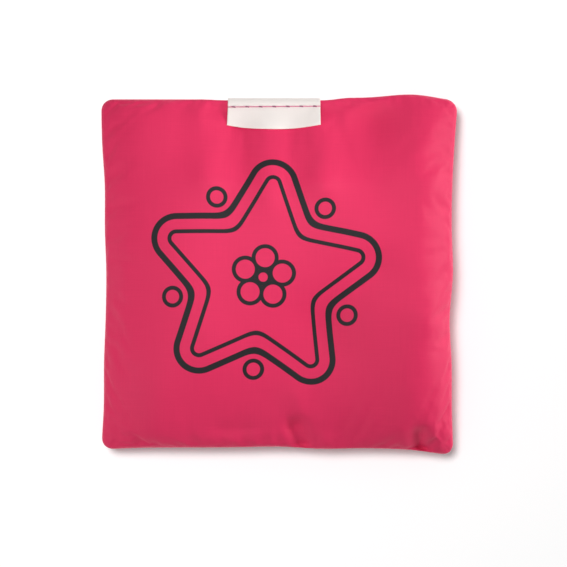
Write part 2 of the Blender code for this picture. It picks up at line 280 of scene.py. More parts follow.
def yarn_arch(tree, place, sharpness):
    """One cushion from yarn edge to yarn edge."""
    inside = calc(tree, "FRACT", place)
    return calc(tree, "POWER", calc(tree, "SINE", calc(tree, "MULTIPLY", inside, math.pi)), sharpness)


along, across = split_vector(weave, weave_in.outputs["Place"])
warp = calc(weave, "DIVIDE", along, weave_in.outputs["Pitch"])
weft = calc(weave, "DIVIDE", across, weave_in.outputs["Pitch"])
crossing = calc(weave, "ADD", calc(weave, "FLOOR", warp), calc(weave, "FLOOR", weft))
weft_on_top = calc(weave, "FLOORED_MODULO", crossing, 2.0)
warp_bump = calc(weave, "MULTIPLY", yarn_arch(weave, warp, FLAT_ARCH), yarn_arch(weave, weft, ROUND_ARCH))
weft_bump = calc(weave, "MULTIPLY", yarn_arch(weave, warp, ROUND_ARCH), yarn_arch(weave, weft, FLAT_ARCH))
chosen = add_node(weave, "Mix")
weave.links.new(weft_on_top, chosen.inputs["Factor"])
weave.links.new(warp_bump, chosen.inputs["A"])
weave.links.new(weft_bump, chosen.inputs["B"])
weave.links.new(chosen.outputs["Result"], weave_out.inputs["Height"])


def yarn_tone(tree, place, other):
    """A slow streak along one yarn, different on the next."""
    row = add_node(tree, "CombineXYZ")
    tree.links.new(calc(tree, "FLOOR", place), row.inputs["X"])
    tree.links.new(calc(tree, "DIVIDE", other, STREAK_PITCHES), row.inputs["Y"])
    streak = add_node(tree, "TexNoise", {"Scale": 1.0, "Detail": 1.0})
    tree.links.new(row.outputs[0], streak.inputs["Vector"])
    return streak.outputs["Fac"]


tones = calc(weave, "ADD", yarn_tone(weave, warp, weft), yarn_tone(weave, weft, warp))
weave.links.new(calc(weave, "MULTIPLY", tones, 0.5), weave_out.inputs["Tone"])
print("group:", weave.name, len(weave.nodes), "nodes")

# %% [markdown]
# ## The printed design
#
# The front is screen printed with black lines. The print is ink in the cloth and has no thickness, so it
# is a mask in the cloth's colour and not a mesh. Each line is the place where the distance to a shape is
# less than half a line width, which keeps its edge crisp at any size. The design is a plain one: a
# rounded five-pointed star drawn twice, a small blossom in its middle and a ring between its arms. All
# of it repeats five times round the middle, so the place is first folded into one tenth of the turn.
# The star is a sharp one, grown outwards by its rounding, which turns each tip into an arc.

# %% Print group
POINTS = 5
STAR_TURN = math.radians(84)
STAR_TIP = 27.0
STAR_VALLEY_SHARE = 0.48
STAR_GROWTH = 6.4
STAR_SOFTNESS = 4.0
INNER_STAR_GROWTH = 2.0
RING_REACH = 26.5
RING_RADIUS = 2.5
PETAL_REACH = 5.6
PETAL_RADIUS = 3.3
BLOSSOM_RADIUS = 1.9
PRINT_MIDDLE = (-4.2, -1.2)
WIDE_LINE = 1.75
THIN_LINE = 1.15
INK_BLEED = 0.07
HALF_TURN = math.pi / POINTS

print_lines, print_in, print_out = new_group(
    "star_print", [("Place", "NodeSocketVector")], [("Ink", "NodeSocketFloat")]
)


def towards(angle):
    return Vector((math.cos(angle), math.sin(angle)))


def length_of(tree, run, rise):
    square = calc(tree, "ADD", calc(tree, "MULTIPLY", run, run), calc(tree, "MULTIPLY", rise, rise))
    return calc(tree, "SQRT", square)


def distance_to(tree, x, y, centre_x, centre_y):
    """Distance from the place to one point."""
    return length_of(tree, calc(tree, "SUBTRACT", x, centre_x), calc(tree, "SUBTRACT", y, centre_y))


def seen_along(tree, x, y, direction):
    """How far the place lies along a direction, and how far to the right of it."""
    along = [calc(tree, "MULTIPLY", value, share) for value, share in ((x, direction.x), (y, direction.y))]
    off = [calc(tree, "MULTIPLY", value, share) for value, share in ((x, direction.y), (y, direction.x))]
    return calc(tree, "ADD", *along), calc(tree, "SUBTRACT", *off)


def line_at(tree, distance, offset, width):
    """1 on a line of this width, drawn where the distance equals offset."""
    away = calc(tree, "ABSOLUTE", calc(tree, "SUBTRACT", distance, offset))
    inner, outer = width / 2 - INK_BLEED, width / 2 + INK_BLEED
    edge = add_node(tree, "MapRange", {"From Min": inner, "From Max": outer, "To Min": 1.0, "To Max": 0.0})
    edge.interpolation_type = "SMOOTHSTEP"
    tree.links.new(away, edge.inputs["Value"])
    return edge.outputs["Result"]


def star_edge(tree, x, y):
    """Distance to one straight edge of the sharp star, less than zero on its inner side."""
    edge = towards(HALF_TURN) * STAR_TIP * STAR_VALLEY_SHARE - Vector((STAR_TIP, 0))
    from_tip = calc(tree, "SUBTRACT", x, STAR_TIP)
    along, off = seen_along(tree, from_tip, y, edge.normalized())
    past_tip = calc(tree, "MINIMUM", along, 0.0)
    past_valley = calc(tree, "MAXIMUM", calc(tree, "SUBTRACT", along, edge.length), 0.0)
    past = calc(tree, "ADD", past_tip, past_valley)
    return calc(tree, "MULTIPLY", length_of(tree, off, past), calc(tree, "SIGN", off))


# %% Fold the place into one tenth of the star
flat_x, flat_y = split_vector(print_lines, print_in.outputs["Place"])
from_x = calc(print_lines, "SUBTRACT", flat_x, PRINT_MIDDLE[0])
from_y = calc(print_lines, "SUBTRACT", flat_y, PRINT_MIDDLE[1])
reach = distance_to(print_lines, flat_x, flat_y, *PRINT_MIDDLE)
turn = calc(print_lines, "SUBTRACT", calc(print_lines, "ARCTAN2", from_y, from_x), STAR_TURN)
folded = calc(print_lines, "PINGPONG", turn, HALF_TURN)
arm_x = calc(print_lines, "MULTIPLY", reach, calc(print_lines, "COSINE", folded))
arm_y = calc(print_lines, "MULTIPLY", reach, calc(print_lines, "SINE", folded))

# %% Draw the star, its rings and its blossom
near_edge = star_edge(print_lines, arm_x, arm_y)
next_edge = star_edge(print_lines, *seen_along(print_lines, arm_x, arm_y, towards(2 * HALF_TURN)))
star = calc(print_lines, "SMOOTH_MIN", near_edge, next_edge, STAR_SOFTNESS)
ring = distance_to(print_lines, arm_x, arm_y, *RING_REACH * towards(HALF_TURN))
petal = distance_to(print_lines, arm_x, arm_y, PETAL_REACH, 0.0)
ink = line_at(print_lines, star, STAR_GROWTH, WIDE_LINE)
for distance, offset, width in (
    (star, INNER_STAR_GROWTH, THIN_LINE),
    (ring, RING_RADIUS, THIN_LINE),
    (petal, PETAL_RADIUS, THIN_LINE),
    (reach, BLOSSOM_RADIUS, THIN_LINE),
):
    ink = calc(print_lines, "MAXIMUM", ink, line_at(print_lines, distance, offset, width))
print_lines.links.new(ink, print_out.inputs["Ink"])
print("group:", print_lines.name, len(print_lines.nodes), "nodes")

# %% [markdown]
# ## Cloth
#
# Satin-like polyester scatters light a little beyond the mirror direction, and its fine nap catches light
# from the side. So the shader has a middling roughness and a thin pink sheen. The weave feeds a Bump
# node, and the yarn tone shifts the pink by a few hundredths. Everything reads the panel's own UV map,
# which is the cloth laid out flat, so weave and print follow the surface.

# %% Cloth material
PANEL_MAP = "flat_cloth"
MAP_ACROSS = 120.0
CLOTH_PINK = (0.83, 0.034, 0.130)
CLOTH_DEEP = (0.73, 0.025, 0.103)
INK_BLACK = (0.010, 0.010, 0.012)
SHEEN_PINK = (1.0, 0.45, 0.60, 1)
CLOTH_PITCH = 0.20
CLOTH_RELIEF = 0.02 * MM


def place_on_cloth(tree):
    """The point's place on the flat cloth, in millimetres from the panel's middle."""
    source = add_node(tree, "UVMap")
    source.uv_map = PANEL_MAP
    place = add_node(tree, "Mapping", {
        "Location": (-MAP_ACROSS / 2, -MAP_ACROSS / 2, 0), "Scale": (MAP_ACROSS, MAP_ACROSS, 1)
    })
    tree.links.new(source.outputs["UV"], place.inputs["Vector"])
    return place.outputs["Vector"]


def mix_colour(tree, factor, first, second):
    node = add_node(tree, "Mix")
    node.data_type = "RGBA"
    tree.links.new(factor, node.inputs["Factor"])
    for name, value in (("A", first), ("B", second)):
        socket = next(s for s in node.inputs if s.name == name and s.type == "RGBA")
        if isinstance(value, bpy.types.NodeSocket):
            tree.links.new(value, socket)
        else:
            socket.default_value = (*value, 1)
    return next(s for s in node.outputs if s.type == "RGBA")


def bump_from(tree, height, relief):
    node = add_node(tree, "Bump", {"Strength": 1.0, "Distance": relief})
    tree.links.new(height, node.inputs["Height"])
    return node.outputs["Normal"]


def cloth_material(name, printed):
    material, tree, shader = new_look(name)
    place = place_on_cloth(tree)
    woven = use_group(tree, weave, place, Pitch=CLOTH_PITCH)
    colour = mix_colour(tree, woven.outputs["Tone"], CLOTH_DEEP, CLOTH_PINK)
    if printed:
        inked = use_group(tree, print_lines, place)
        colour = mix_colour(tree, inked.outputs["Ink"], colour, INK_BLACK)
    tree.links.new(colour, shader.inputs["Base Color"])
    tree.links.new(bump_from(tree, woven.outputs["Height"], CLOTH_RELIEF), shader.inputs["Normal"])
    set_sockets(shader, {
        "Roughness": 0.50, "Specular IOR Level": 0.18,
        "Sheen Weight": 0.10, "Sheen Roughness": 0.40, "Sheen Tint": SHEEN_PINK,
    })
    return material


front_cloth = cloth_material("front_cloth", True)
back_cloth = cloth_material("back_cloth", False)
print("materials:", front_cloth.name, back_cloth.name)

# %% [markdown]
# ## The outline of a panel
#
# A panel is a square blank, described by two shares that run from -1 to 1 across it. Each side of the
# finished bag is drawn in a little between its corners by the filling. The draw-in is read from a few
# stations along each side, joined by a smooth line, and the corners are rounded as a turned corner is.

# %% Outline
PANEL_WIDTH = 101.6 * MM
PANEL_LENGTH = 101.8 * MM
CORNER_RADIUS = 3.4 * MM
EDGE_DRAW = 1.6 * MM
HALF_WIDTH = PANEL_WIDTH / 2
HALF_LENGTH = PANEL_LENGTH / 2
RIGHT_DRAW_SHARES = (0.36, 0.69, 0.77, 1.13, 0.55, 0.76, 0.66, 0.21, -0.40)
LEFT_DRAW_SHARES = (0.15, 0.63, 0.71, 1.01, 1.12, 0.87, 0.84, 0.33, 0.10)
TOP_DRAW_SHARES = (0.72, 0.80, 0.84, 0.82, 1.0, 0.62, 0.47, -0.07, 0.92)
BOTTOM_DRAW_SHARES = (0.28, 0.60, 0.67, 0.71, 0.84, 0.45, 0.53, 0.22, -0.80)

label_middle = (fold_low.x + fold_high.x) / 2
label_width = fold_high.x - fold_low.x
CLOSED_HALF_WIDTH = label_width / 2 + 0.4 * MM
CLOSED_FADE = 8.0 * MM
CLOSED_EDGE = HALF_LENGTH - EDGE_DRAW


def smooth_step(place):
    """0 before 0, 1 after 1, and an even ease between."""
    place = min(max(place, 0.0), 1.0)
    return place * place * (3 - 2 * place)


def read_shares(shares, place):
    """The value at place, from -1 to 1, on a smooth line through evenly spread stations."""
    last = len(shares) - 1
    along = (place + 1) / 2 * last
    first = min(max(int(along), 0), last - 1)
    t = along - first
    a, b, c, d = (shares[min(max(first + k, 0), last)] for k in (-1, 0, 1, 2))
    return b + 0.5 * t * (c - a + t * (2 * a - 5 * b + 4 * c - d + t * (3 * (b - c) + d - a)))


def closed_weight(x):
    """1 across the closed opening under the label, 0 past it."""
    return 1 - smooth_step((abs(x - label_middle) - CLOSED_HALF_WIDTH) / CLOSED_FADE)


def side_reach(u, v):
    """How far the outline lies from the middle, along X at the height v."""
    shares = RIGHT_DRAW_SHARES if u > 0 else LEFT_DRAW_SHARES
    return HALF_WIDTH - EDGE_DRAW * read_shares(shares, v)


def end_reach(u, v):
    """How far the outline lies from the middle, along Y at the width u."""
    if v <= 0:
        return HALF_LENGTH - EDGE_DRAW * read_shares(BOTTOM_DRAW_SHARES, u)
    free = HALF_LENGTH - EDGE_DRAW * read_shares(TOP_DRAW_SHARES, u)
    return free + (CLOSED_EDGE - free) * closed_weight(u * HALF_WIDTH)


def plan_point(u, v):
    """The panel's shares u, v laid out as x, y in its outline, with its rounded corners."""
    reach = (side_reach(u, v), end_reach(u, v))
    from_corner = [CORNER_RADIUS - reach[0] * (1 - abs(u)), CORNER_RADIUS - reach[1] * (1 - abs(v))]
    plan = [reach[0] * abs(u), reach[1] * abs(v)]
    if min(from_corner) > 0:
        turn = max(from_corner) / math.hypot(*from_corner)
        plan = [r - CORNER_RADIUS + f * turn for r, f in zip(reach, from_corner)]
    return math.copysign(plan[0], u), math.copysign(plan[1], v)


print("panel, mm:", round(PANEL_WIDTH / MM, 1), "x", round(PANEL_LENGTH / MM, 1))

# %% [markdown]
# ## The swell of a panel
#
# The filling lifts each panel into a low cushion: it climbs fast behind the seam and is almost level in
# the middle. Next to the seam the cloth rolls over in a quarter circle. Under the label the layers are
# sewn flat, so there the swell starts later.

# %% Swell
FRONT_CROWN = 11.8 * MM
BACK_CROWN = 10.2 * MM
CROWN_POWER = 3.0
TOP_CROWN_POWER = 2.0
RIGHT_CROWN_POWER = 6.0
CROWN_FULLNESS = 0.62
CORNER_DROP = 2.2 * MM
CLOTH_THICKNESS = 0.45 * MM
ROLL_RADIUS = 0.9 * MM
LAYER_GAP = 0.3 * MM
TOUCH_GAP = 0.04 * MM
LABEL_THICKNESS = 0.35 * MM
CLOSED_FLAT = 2.4 * MM
CLOSED_RISE = 24.0 * MM
SLACK_LEFT_FADE = 27.0 * MM
SLACK_RIGHT_FADE = 24.0 * MM
SLACK_RIGHT_REACH = 13.0 * MM
RELIEF_RISE = 5.0 * MM
STITCH_INSET = 2.65 * MM
STITCH_PULL = 0.12 * MM
STITCH_PULL_REACH = 0.8 * MM

label_top = fold_high.y
stitch_line = label_top - STITCH_INSET
label_seat = (fold_high.z - fold_low.z) / 2 - LABEL_THICKNESS
pressed_height = label_seat - LAYER_GAP
pressed_roll = (pressed_height - LAYER_GAP / 2) / 2


def edge_distance(u, v):
    """How far u, v lies inside the nearest side of the outline."""
    return min(side_reach(u, v) * (1 - abs(u)), end_reach(u, v) * (1 - abs(v)))


def seam_level(x, y):
    """Height of the plane between the two allowances: it sinks towards the corners."""
    return SEAM_LEVEL - CORNER_DROP * (x / HALF_WIDTH * y / HALF_LENGTH) ** 4


def roll_height(distance, radius):
    """Height of the rolled edge's outer face, at a distance inside the outline."""
    inside = max(radius - distance, 0.0)
    return LAYER_GAP / 2 + radius + math.sqrt(radius**2 - min(inside, radius) ** 2)


def swell_at(u, v):
    """1 in the middle of the panel, 0 on its outline: slacker at the top, fuller on the right."""
    across = RIGHT_CROWN_POWER if u > 0 else CROWN_POWER
    along = TOP_CROWN_POWER if v > 0 else CROWN_POWER
    return ((1 - abs(u) ** across) * (1 - abs(v) ** along)) ** CROWN_FULLNESS


def slack_weight(x):
    """1 where the filling stays away from the top edge, by the label, 0 where it fills the edge."""
    past = abs(x - label_middle) - CLOSED_HALF_WIDTH
    if x > label_middle:
        return 1 - smooth_step((past - SLACK_RIGHT_REACH) / SLACK_RIGHT_FADE)
    return 1 - smooth_step(past / SLACK_LEFT_FADE)


def stitch_pull(x, from_top):
    """How far the closing stitches pull the layers together beside their line."""
    if abs(x - label_middle) > label_width / 2:
        return 0.0
    away = (from_top - CLOSED_EDGE + stitch_line) / STITCH_PULL_REACH
    return STITCH_PULL * math.exp(-away * away)


def panel_height(u, v, crown, relief):
    """Height of a panel's outer face above the seam plane, with relief added where it is free."""
    full = roll_height(ROLL_RADIUS, ROLL_RADIUS)
    free = roll_height(edge_distance(u, v), ROLL_RADIUS) + (crown - full) * swell_at(u, v)
    x = u * HALF_WIDTH
    weight = slack_weight(x)
    if v <= 0 or weight == 0:
        return free + relief
    from_top = end_reach(u, v) * (1 - v)
    pressed = roll_height(from_top, pressed_roll) - stitch_pull(x, from_top)
    closed = pressed + (free - pressed) * smooth_step((from_top - CLOSED_FLAT) / CLOSED_RISE)
    held = closed_weight(x) * (1 - smooth_step((from_top - CLOSED_FLAT) / RELIEF_RISE))
    return free + (closed - free) * weight + relief * (1 - held)


print("stitch line at y, mm:", round(stitch_line / MM, 2))

# %% [markdown]
# ## Folds and puckers
#
# What tells cloth from plastic is its relief. The front has a few long soft folds, placed from
# the photograph: ridges and hollows that fan in from the top edge, a slack hollow towards the lower
# right, low ridges along both sides, and short dents at the lower seam. Each is a bell-shaped ridge
# along a line. Along the seams the cloth is also gathered a little, which noise that is stretched across
# the seam makes. Every side of every panel reads its own strip of that noise.

# %% Relief
FOLDS_MM = (
    # from x, y to x, y, half width, height
    (46.5, 24, 46.5, -12, 8.0, 1.8),
    (43.0, -14, 42.5, -42, 8.5, 1.8),
    (39.5, 46, 41.0, 24, 6.0, 0.4),
    (26.5, 46, 26.5, 24, 6.5, -1.1),
    (27.0, 0, 16.0, -14, 8.0, -1.5),
    (10.0, -18, -12.0, -46, 13.0, -2.5),
    (17.0, -24, 16.0, -46, 12.0, -2.2),
    (-37.0, -24, -38.0, -48, 9.0, 0.9),
    (-19.5, 46, -20.0, 28, 6.2, 1.8),
    (-12.0, 42, -12.0, 32, 4.2, -0.7),
    (-2.5, 44, -2.2, 22, 5.0, 1.3),
    (12.0, 49, 12.5, 27, 5.5, 2.0),
    (-26.0, 8, -22.0, -22, 8.0, 0.8),
    (-36.0, 4, -36.0, -28, 15.0, 1.2),
    (18.0, 24, 22.0, 10, 7.0, 0.5),
    (6.5, -46, 5.5, -36, 3.5, 0.6),
)
NIPS_MM = (
    # short dents that start at the lower seam
    (41.6, -51, 40.4, -45.5, 2.8, -3.0),
    (7.6, -51, 5.2, -44.7, 3.1, -2.8),
    (18.0, -50, 30.0, -50, 4.0, -0.8),
)
NIP_FADE = 1.2 * MM
FOLD_FADE = 6.5 * MM
BELL_END = 3
PUCKER_HEIGHT = 0.16 * MM
PUCKER_SPACING = 4.2 * MM
PUCKER_REACH = 6.5 * MM
PUCKER_STRETCH = 0.6
STRIP_STEP = 3.0
PANEL_STRIPS = 20
SLACK_HEIGHT = 0.22 * MM
SLACK_SPACING = 11.0 * MM
SLACK_STRIP = 5.0


def fold_height(folds, x, y):
    """The sum of the folds at one place."""
    total = 0.0
    here = Vector((x, y))
    for x0, y0, x1, y1, width, height in folds:
        start = Vector((x0 * MM, y0 * MM))
        run = Vector((x1 * MM, y1 * MM)) - start
        step = here - start
        along = min(max(step.dot(run) / run.length_squared, 0.0), 1.0)
        away = (step - run * along).length / (width * MM)
        if away < BELL_END:
            total += height * MM * math.exp(-away * away)
    return total


def pucker_height(u, v, side):
    """Small gathers that start at the seam and run straight in."""
    distance = edge_distance(u, v)
    inward = distance / PUCKER_REACH
    if inward > BELL_END:
        return 0.0
    nearer_end = end_reach(u, v) * (1 - abs(v)) < side_reach(u, v) * (1 - abs(u))
    along = u * HALF_WIDTH if nearer_end else v * HALF_LENGTH
    strip = STRIP_STEP * (1 if nearer_end else 2) * math.copysign(1, v if nearer_end else u)
    strip += PANEL_STRIPS * side
    gather = noise.noise(Vector((along / PUCKER_SPACING, strip, inward * PUCKER_STRETCH)))
    return PUCKER_HEIGHT * gather * math.exp(-inward * inward)


def relief_at(u, v, side):
    """Everything that disturbs the smooth swell, faded out at the rolled edge."""
    x, y = u * HALF_WIDTH, v * HALF_LENGTH
    distance = edge_distance(u, v)
    total = SLACK_HEIGHT * noise.noise(Vector((x / SLACK_SPACING, y / SLACK_SPACING, SLACK_STRIP * side)))
    if side > 0:
        total += fold_height(FOLDS_MM, x, y)
    total *= smooth_step(distance / FOLD_FADE)
    if side > 0:
        total += fold_height(NIPS_MM, x, y) * smooth_step(distance / NIP_FADE)
    return total + pucker_height(u, v, side) * smooth_step(distance / (3 * ROLL_RADIUS))


print("folds:", len(FOLDS_MM), "and", len(NIPS_MM), "dents at the seam")

# %% [markdown]
# ## Covers
#
# Each cover starts as a flat grid, as the real one starts as a flat cut square. The grid's lines crowd
# towards the edge, where the cloth rolls over. Its open border is extruded again and again: first round
# the quarter circle of the turned seam, then inwards as the seam allowance. Behind the turned edges the
# two allowances close almost to nothing, so no light shows through the seam. A Solidify modifier gives
# the cloth its thickness, on the inside. The flat place of each vertex becomes the UV map.
#
# The listed folds alone look like clay. So each panel's outer face is then run as cloth: it is pinned
# along the seam and under the label, its rest size is set a few percent larger, and the filling is a
# little air pressure. The spare cloth buckles into the small puckers that a sewn edge has. Blender's
# cloth behaves best at about a metre, so the panel is simulated ten times as large. No point may move
# more than a set distance, and less in the middle, where the filling holds the cloth.

# %% Settle the cloth
SIM_SCALE = 10.0
SIM_FRAMES = 24
SIM_SLACK = 0.024
SIM_PRESSURE = 1.2
SIM_PINNED = 1.4 * MM
SIM_HELD_SHARE = 0.80
SIM_HELD_FADE_SHARE = 0.08
SIM_CLOTH = {
    "quality": 6, "mass": 0.3, "tension_stiffness": 20, "compression_stiffness": 20, "shear_stiffness": 6,
    "bending_stiffness": 0.08, "shrink_min": -SIM_SLACK, "use_pressure": True,
    "uniform_pressure_force": SIM_PRESSURE,
}
MOVE_LIMIT = 0.8 * MM
MIDDLE_SHARE = 0.35
MIDDLE_REACH = 16.0 * MM


def hold_at(u, v):
    """1 where the cloth is sewn down, 0 where it is free."""
    seam = 1 - smooth_step(edge_distance(u, v) / SIM_PINNED)
    under_label = closed_weight(u * HALF_WIDTH) * smooth_step((v - SIM_HELD_SHARE) / SIM_HELD_FADE_SHARE)
    return max(seam, under_label)


def settle(flat_panel, side):
    """Lays a flat panel out as its outer face, runs it as cloth, and returns how its points move."""
    shares = [tuple(vert.co.xy) for vert in flat_panel.verts]
    points = [outer_point(u, v, side) for u, v in shares]
    for vert, point in zip(flat_panel.verts, points):
        vert.co = point * SIM_SCALE
    face_away(flat_panel, Vector((0, 0, SEAM_LEVEL * SIM_SCALE)))
    scene = bpy.context.scene
    mesh = bpy.data.meshes.new("settling")
    flat_panel.to_mesh(mesh)
    flat_panel.free()
    panel = put_in_scene("settling", mesh)
    pins = panel.vertex_groups.new(name="sewn")
    for number, (u, v) in enumerate(shares):
        pins.add([number], hold_at(u, v), "REPLACE")
    cloth = panel.modifiers.new("cloth", "CLOTH")
    for setting, value in SIM_CLOTH.items():
        setattr(cloth.settings, setting, value)
    cloth.settings.vertex_group_mass = pins.name
    cloth.settings.effector_weights.gravity = 0
    cloth.collision_settings.use_collision = False
    cloth.point_cache.frame_start = 1
    cloth.point_cache.frame_end = SIM_FRAMES
    for number in range(1, SIM_FRAMES + 1):
        scene.frame_set(number)
    settled = panel.evaluated_get(bpy.context.evaluated_depsgraph_get()).data
    places = [vert.co / SIM_SCALE for vert in settled.vertices]
    scene.frame_set(1)
    bpy.data.objects.remove(panel)
    bpy.data.meshes.remove(mesh)
    moves = []
    for start, end, (u, v) in zip(points, places, shares):
        middle = smooth_step(edge_distance(u, v) / MIDDLE_REACH)
        move = (end - start) * (1 - (1 - MIDDLE_SHARE) * middle)
        if move.length:
            move *= MOVE_LIMIT * math.tanh(move.length / MOVE_LIMIT) / move.length
        moves.append(move)
    return moves


# %% Panel blanks
ALLOWANCE = 6.0 * MM
ROLL_STEPS = 3
ALLOWANCE_STEPS = 3
EDGE_CROWDING = 1.35
REST_SOFTNESS = 0.5 * MM


def crowded(place):
    """Moves evenly spread lines outwards, so that they crowd at the edge."""
    return math.copysign(1 - (1 - abs(place)) ** EDGE_CROWDING, place)


def panel_blank(cells):
    """A flat square grid in shares, with its lines crowded towards the edge."""
    blank = bmesh.new()
    bmesh.ops.create_grid(blank, x_segments=cells, y_segments=cells, size=1)
    for vert in blank.verts:
        vert.co = Vector((crowded(vert.co.x), crowded(vert.co.y), 0))
    return blank


def extrude_border(blank, level):
    """Extrudes the open border once, and marks the new ring with its level."""
    border = [edge for edge in blank.edges if edge.is_boundary]
    made = bmesh.ops.extrude_edge_only(blank, edges=border)["geom"]
    for vert in (item for item in made if isinstance(item, bmesh.types.BMVert)):
        vert.co.z = level


def rest_on_table(z):
    """Keeps the underside at the table, with a soft edge to the flat patch."""
    return (z + math.sqrt(z * z + REST_SOFTNESS**2)) / 2


def outer_point(u, v, side):
    x, y = plan_point(u, v)
    crown = FRONT_CROWN if side > 0 else BACK_CROWN
    z = seam_level(x, y) + side * panel_height(u, v, crown, relief_at(u, v, side))
    return Vector((x, y, z if side > 0 else rest_on_table(z)))


def turned_point(u, v, side, level):
    """A point of the turned edge or the allowance, with how far it lies past the outline on the flat."""
    weight = slack_weight(u * HALF_WIDTH) if v > 0.999 else 0.0
    radius = ROLL_RADIUS + (pressed_roll - ROLL_RADIUS) * weight
    turned = min(level / ROLL_STEPS, 1)
    angle = math.pi / 2 * turned
    gap = LAYER_GAP + (TOUCH_GAP - LAYER_GAP) * turned**2
    inset, height, past = radius * (1 - math.cos(angle)), radius * (1 - math.sin(angle)), radius * angle
    if level > ROLL_STEPS:
        further = (ALLOWANCE - radius) * (level - ROLL_STEPS) / ALLOWANCE_STEPS
        inset += further
        past += further
    x, y = plan_point(u * (1 - inset / HALF_WIDTH), v * (1 - inset / HALF_LENGTH))
    return Vector((x, y, seam_level(x, y) + side * (gap / 2 + height))), past


# %% Cover pieces
def face_away(mesh_data, inside):
    """Makes all faces agree, and turns them so that they look away from the point inside."""
    bmesh.ops.recalc_face_normals(mesh_data, faces=mesh_data.faces)
    away = sum((face.calc_center_median() - inside).dot(face.normal) * face.calc_area()
               for face in mesh_data.faces)
    if away < 0:
        bmesh.ops.reverse_faces(mesh_data, faces=mesh_data.faces)


def make_piece(name, mesh_data, material):
    """Turns a bmesh into a smooth piece at the origin."""
    mesh = bpy.data.meshes.new(name)
    mesh_data.to_mesh(mesh)
    mesh_data.free()
    mesh.shade_smooth()
    mesh.materials.append(material)
    return put_in_scene(name, mesh)


def add_wall(piece, thickness, offset):
    """Gives an open surface its thickness, on the side that offset names."""
    wall = piece.modifiers.new("wall", "SOLIDIFY")
    wall.thickness = thickness
    wall.offset = offset
    wall.use_even_offset = True


def make_cover(name, side, cells, material):
    """One cloth panel with its turned edge and allowance."""
    blank = panel_blank(cells)
    moves = None
    moves = settle(blank.copy(), side)
    print(name, "moved at most, mm:", round(max(move.length for move in moves) / MM, 2))
    for level in range(1, ROLL_STEPS + ALLOWANCE_STEPS + 1):
        extrude_border(blank, level)
    flat = blank.verts.layers.float_vector.new("flat")
    blank.verts.index_update()
    for vert in blank.verts:
        u, v, level = vert.co.x, vert.co.y, round(vert.co.z)
        place = Vector((u * HALF_WIDTH, v * HALF_LENGTH, 0))
        if level:
            vert.co, past = turned_point(u, v, side, level)
            if abs(u) > 0.9999:
                place.x += math.copysign(past, u)
            if abs(v) > 0.9999:
                place.y += math.copysign(past, v)
        else:
            vert.co = outer_point(u, v, side)
            if moves:
                vert.co += moves[vert.index]
                vert.co.z = max(vert.co.z, 0.0)
        vert[flat] = place / (MAP_ACROSS * MM) + Vector((0.5, 0.5, 0))
    uv = blank.loops.layers.uv.new(PANEL_MAP)
    for face in blank.faces:
        for loop in face.loops:
            loop[uv].uv = loop.vert[flat].xy
    face_away(blank, Vector((0, 0, SEAM_LEVEL)))
    cover = make_piece(name, blank, material)
    finer = cover.modifiers.new("finer", "SUBSURF")
    finer.levels = finer.render_levels = 1
    add_wall(cover, CLOTH_THICKNESS, -1)
    return cover


FRONT_CELLS = 108
BACK_CELLS = 92

front_cover = make_cover("front_cover_cloth", 1, FRONT_CELLS, front_cloth)
back_cover = make_cover("back_cover_cloth", -1, BACK_CELLS, back_cloth)
for cover, node in ((front_cover, "cover_front"), (back_cover, "cover_back")):
    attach(cover, "bag")
    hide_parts(node)
    print(cover.name, len(cover.data.polygons), "faces")

# %% [markdown]
# ## The folded label
#
# The label is one woven ribbon. It is folded over the top edge of the bag and sewn through, and both of
# its ends are loose below the stitches. Each half is laid on the finished cover as a hand would lay it:
# from the fold's apex round the edge, then down the cloth. A taut ribbon bridges the hollows and touches
# the high places, which is the upper hull of the heights under it, and a ray cast finds those heights.
# A ribbon is too stiff to follow every small wave across it, so its loose part is evened out at the end.

# %% The ribbon's path
LABEL_DROP = 8.0 * MM
LABEL_BOW = 1.24 * MM
LABEL_FLARE = 0.15 * MM
LABEL_LEAN = 0.10 * MM
LABEL_REST = 0.06 * MM
LABEL_CURL = 0.10 * MM
LABEL_EASING = 40
RAY_HEIGHT = 40 * MM
HULL_STEP = 0.25 * MM
BEND_STEPS = 12

label_apex = label_top - LABEL_THICKNESS


def tree_of(piece):
    return BVHTree.FromObject(piece, bpy.context.evaluated_depsgraph_get())


def height_over_seam(tree, x, y, side):
    """Height of a cover's outer face above the seam level, or below it on the back."""
    start = Vector((x, y, SEAM_LEVEL + side * RAY_HEIGHT))
    hit = tree.ray_cast(start, Vector((0, 0, -side)))[0]
    return 0.0 if hit is None else side * (hit.z - SEAM_LEVEL)


def upper_hull(points):
    """The points that a taut ribbon touches, for points in order along its run."""
    hull = []
    for point in points:
        while len(hull) > 1:
            (y0, h0), (y1, h1) = hull[-2:]
            if (h1 - h0) * (y0 - point[0]) > (point[1] - h0) * (y0 - y1):
                break
            hull.pop()
        hull.append(point)
    return hull


def ribbon_path(tree, x, side, end):
    """Points (y, height) of the ribbon's inner face, from the fold's apex to its loose end."""
    spring = label_apex - (label_seat - LAYER_GAP / 2)
    path = []
    for step in range(BEND_STEPS):
        angle = math.pi / 2 * step / BEND_STEPS
        path.append((spring + (label_apex - spring) * math.cos(angle), label_seat * math.sin(angle)))
    path.append((spring, label_seat))
    steps = int((stitch_line - end) / HULL_STEP)
    under = []
    for step in range(steps + 1):
        y = stitch_line + (end - stitch_line) * step / steps
        height = height_over_seam(tree, x, y, side) + LABEL_REST
        under.append((y, height if step else label_seat - STITCH_PULL))
    return path + upper_hull(under)


def point_along(path, distance):
    """The place at a distance along a path, on straight runs between its points."""
    for (y0, h0), (y1, h1) in zip(path, path[1:]):
        run = math.hypot(y1 - y0, h1 - h0)
        if distance <= run or (y1, h1) == path[-1]:
            share = distance / run
            return y0 + (y1 - y0) * share, h0 + (h1 - h0) * share
        distance -= run


